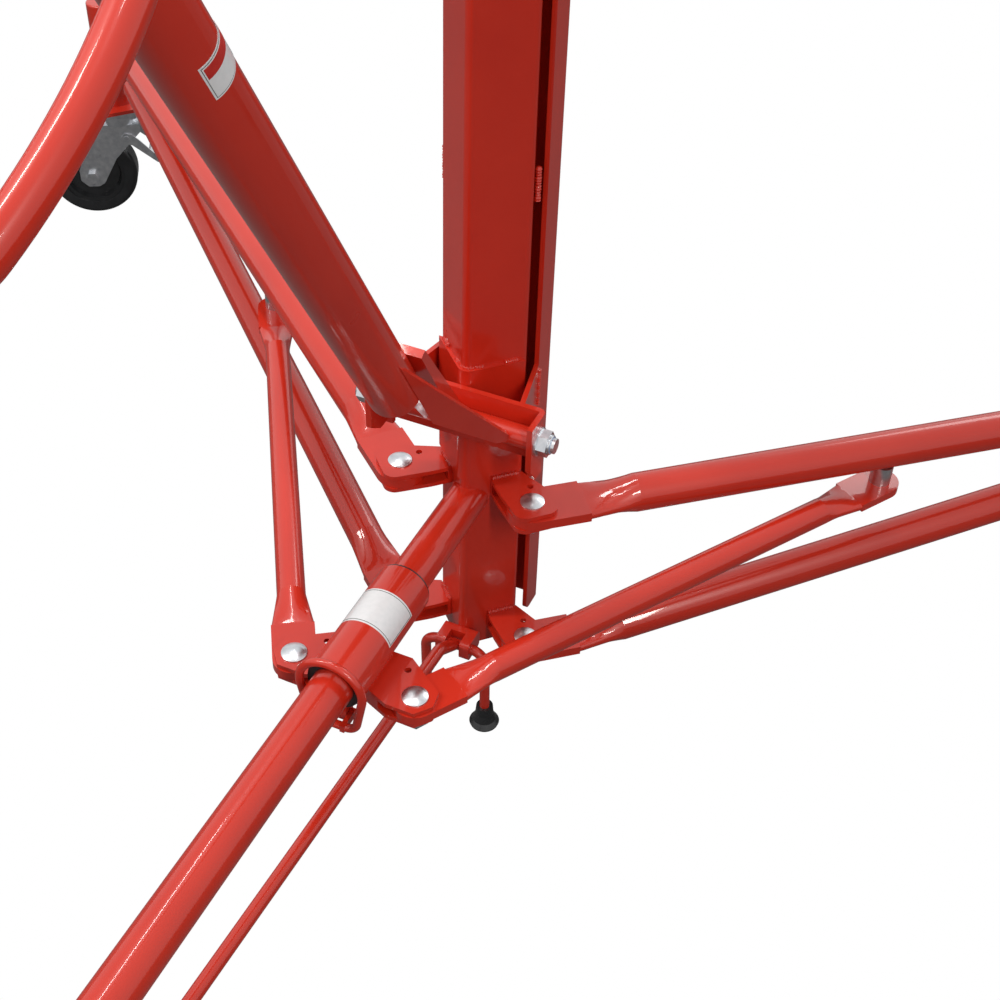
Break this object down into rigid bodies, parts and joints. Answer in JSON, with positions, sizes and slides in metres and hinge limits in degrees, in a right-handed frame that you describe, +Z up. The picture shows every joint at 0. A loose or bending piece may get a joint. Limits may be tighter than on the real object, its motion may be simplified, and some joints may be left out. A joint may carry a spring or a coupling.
{
  "type": "engine hoist crane",
  "caption": "Folding floor crane with a channel-and-tube mast, swing-out tube legs braced by a sliding yoke, boom with ram and hook, casters and a drawbar.",
  "frame": {"origin": "middle of the crane's outline on the floor, in its symmetry plane", "axes": "+Z up, +Y forward toward the boom's hook, +X to the operator's right when standing behind the mast"},
  "size_m": [2.2984, 2.2218, 1.585],
  "materials": {
    "red_paint": "glossy red-orange paint over welded steel",
    "zinc": "bright zinc plating",
    "chrome_rod": "hard chrome, polished",
    "hook_steel": "forged steel with a dark finish",
    "black_rubber": "satin black rubber",
    "black_plastic": "black bearing plastic"
  },
  "bodies": {
    "frame": {"mast_tube": "red_paint", "mast_channel": "red_paint", "mast_head": "red_paint", "boom_bolt": "zinc", "hub_plates": "red_paint", "drawbar_bracket": "red_paint", "drawbar_bolt": "zinc", "leg_clevises": "red_paint", "leg_pins": "zinc", "tail_tube": "red_paint", "tail_post": "red_paint", "caster_tail_plate": "zinc", "bail_strap": "red_paint", "ram_bracket": "red_paint", "ram_bolt": "zinc"},
    "yoke": {"yoke_sleeve": "red_paint", "yoke_bushes": "black_plastic", "yoke_lugs": "red_paint", "yoke_pins": "zinc"},
    "latch": {"latch_loop": "red_paint"},
    "drawbar": {"drawbar_tube": "red_paint", "drawbar_cap": "red_paint", "drawbar_shoe": "red_paint", "drawbar_hoop": "red_paint"},
    "bail": {"bail_rod": "red_paint", "bail_feet": "black_rubber"},
    "boom": {"boom_tube": "red_paint", "boom_hangers": "red_paint", "hanger_bolts": "zinc"},
    "extension": {"boom_extension": "red_paint", "tip_bolt": "zinc"},
    "clamp_screw": {"clamp_screw": "zinc"},
    "chain": {"hoist_chain": "zinc"},
    "hook": {"hook": "hook_steel"},
    "ram_barrel": {"ram_barrel": "red_paint", "pump_body": "red_paint"},
    "ram_rod": {"ram_rod": "chrome_rod"},
    "pump_lever": {"pump_lever": "zinc"},
    "leg_left": {"leg_left_upper_tube": "red_paint", "leg_left_lower_tube": "red_paint", "leg_left_post": "red_paint", "caster_left_plate": "zinc"},
    "brace_left": {"brace_left_tube": "red_paint", "brace_left_stud": "zinc"},
    "leg_right": {"leg_right_upper_tube": "red_paint", "leg_right_lower_tube": "red_paint", "leg_right_post": "red_paint", "caster_right_plate": "zinc"},
    "brace_right": {"brace_right_tube": "red_paint", "brace_right_stud": "zinc"},
    "fork_right": {"caster_right_fork": "zinc"},
    "wheel_right": {"caster_right_wheel": "black_rubber"},
    "pedal_right": {"caster_right_pedal": "zinc"},
    "fork_left": {"caster_left_fork": "zinc"},
    "wheel_left": {"caster_left_wheel": "black_rubber"},
    "pedal_left": {"caster_left_pedal": "zinc"},
    "fork_tail": {"caster_tail_fork": "zinc"},
    "wheel_tail": {"caster_tail_wheel": "black_rubber"},
    "pedal_tail": {"caster_tail_pedal": "zinc"}
  },
  "joints": [
    {"name": "leg_left_swing", "type": "hinge", "parent": "frame", "child": "leg_left", "pos_m": [-0.078, 0.24807, 0.343], "axis": [0, 0, 1], "range_deg": [0, 121]},
    {"name": "leg_right_swing", "type": "hinge", "parent": "frame", "child": "leg_right", "pos_m": [0.078, 0.24807, 0.343], "axis": [0, 0, 1], "range_deg": [-121, 0]},
    {"name": "yoke_slide", "type": "slide", "parent": "frame", "child": "yoke", "axis": [0, -1, 0], "range_m": [0, 0.76783]},
    {"name": "brace_left_swing", "type": "hinge", "parent": "yoke", "child": "brace_left", "pos_m": [-0.0665, -0.00593, 0.292], "axis": [0, 0, 1], "range_deg": [-25.2, 0]},
    {"name": "brace_right_swing", "type": "hinge", "parent": "yoke", "child": "brace_right", "pos_m": [0.0665, -0.00593, 0.292], "axis": [0, 0, 1], "range_deg": [0, 25.2]},
    {"name": "latch_swing", "type": "hinge", "parent": "yoke", "child": "latch", "pos_m": [0, -0.03193, 0.278], "axis": [1, 0, 0], "range_deg": [0, 12]},
    {"name": "drawbar_tilt", "type": "hinge", "parent": "frame", "child": "drawbar", "pos_m": [0, 0.21907, 0.463], "axis": [-1, 0, 0], "range_deg": [0, 28]},
    {"name": "bail_press", "type": "hinge", "parent": "frame", "child": "bail", "pos_m": [0, 0.22607, 0.122], "axis": [1, 0, 0], "range_deg": [0, 8]},
    {"name": "boom_lift", "type": "hinge", "parent": "frame", "child": "boom", "pos_m": [0, 0.31607, 1.54], "axis": [1, 0, 0], "range_deg": [-15, 28]},
    {"name": "ram_tilt", "type": "hinge", "parent": "frame", "child": "ram_barrel", "pos_m": [0, 0.40407, 0.95], "axis": [1, 0, 0], "range_deg": [-1.64, 2.8]},
    {"name": "ram_stroke", "type": "slide", "parent": "ram_barrel", "child": "ram_rod", "axis": [0, 0.3585, 0.9335], "range_m": [-0.0769, 0.1419]},
    {"name": "pump_lever_swing", "type": "hinge", "parent": "ram_barrel", "child": "pump_lever", "pos_m": [0.044, 0.44852, 1.06576], "axis": [0, 0.9335, -0.3585], "range_deg": [-25, 28]},
    {"name": "extension_slide", "type": "slide", "parent": "boom", "child": "extension", "axis": [0, 1, 0], "range_m": [0, 0.3]},
    {"name": "clamp_screw_turn", "type": "hinge", "parent": "boom", "child": "clamp_screw", "pos_m": [0.0664, 0.88607, 1.54], "axis": [1, 0, 0], "range_deg": [-180, 180]},
    {"name": "chain_swing", "type": "hinge", "parent": "extension", "child": "chain", "pos_m": [0, 1.04207, 1.54], "axis": [1, 0, 0], "range_deg": [-30, 30]},
    {"name": "hook_swing", "type": "hinge", "parent": "chain", "child": "hook", "pos_m": [0, 1.04207, 1.3511], "axis": [1, 0, 0], "range_deg": [-30, 30]},
    {"name": "caster_right_swivel", "type": "hinge", "parent": "leg_right", "child": "fork_right", "pos_m": [1.02943, 1.04641, 0.18], "axis": [0, 0, 1], "continuous": true},
    {"name": "caster_right_roll", "type": "hinge", "parent": "fork_right", "child": "wheel_right", "pos_m": [1.07657, 1.01808, 0.075], "axis": [-0.515, -0.8572, 0], "continuous": true},
    {"name": "caster_right_brake", "type": "hinge", "parent": "fork_right", "child": "pedal_right", "pos_m": [1.01914, 1.05259, 0.146], "axis": [-0.515, -0.8572, 0], "range_deg": [0, 25]},
    {"name": "caster_left_swivel", "type": "hinge", "parent": "leg_left", "child": "fork_left", "pos_m": [-1.02943, 1.04641, 0.18], "axis": [0, 0, 1], "continuous": true},
    {"name": "caster_left_roll", "type": "hinge", "parent": "fork_left", "child": "wheel_left", "pos_m": [-1.07657, 1.01808, 0.075], "axis": [-0.515, 0.8572, 0], "continuous": true},
    {"name": "caster_left_brake", "type": "hinge", "parent": "fork_left", "child": "pedal_left", "pos_m": [-1.01914, 1.05259, 0.146], "axis": [-0.515, 0.8572, 0], "range_deg": [0, 25]},
    {"name": "caster_tail_swivel", "type": "hinge", "parent": "frame", "child": "fork_tail", "pos_m": [0, -1.03893, 0.18], "axis": [0, 0, 1], "continuous": true},
    {"name": "caster_tail_roll", "type": "hinge", "parent": "fork_tail", "child": "wheel_tail", "pos_m": [0, -0.98393, 0.075], "axis": [1, 0, 0], "continuous": true},
    {"name": "caster_tail_brake", "type": "hinge", "parent": "fork_tail", "child": "pedal_tail", "pos_m": [0, -1.05093, 0.146], "axis": [1, 0, 0], "range_deg": [0, 25]}
  ],
  "couplings": [
    {"joint": "leg_right_swing", "follows": "leg_left_swing", "ratio": -1},
    {"joint": "yoke_slide", "follows": "leg_left_swing", "m_per_rad": 0.36334},
    {"joint": "brace_left_swing", "follows": "leg_left_swing", "ratio": -0.20819},
    {"joint": "brace_right_swing", "follows": "leg_left_swing", "ratio": 0.20819},
    {"joint": "ram_tilt", "follows": "boom_lift", "ratio": 0.089438},
    {"joint": "ram_stroke", "follows": "boom_lift", "m_per_rad": 0.28628}
  ]
}
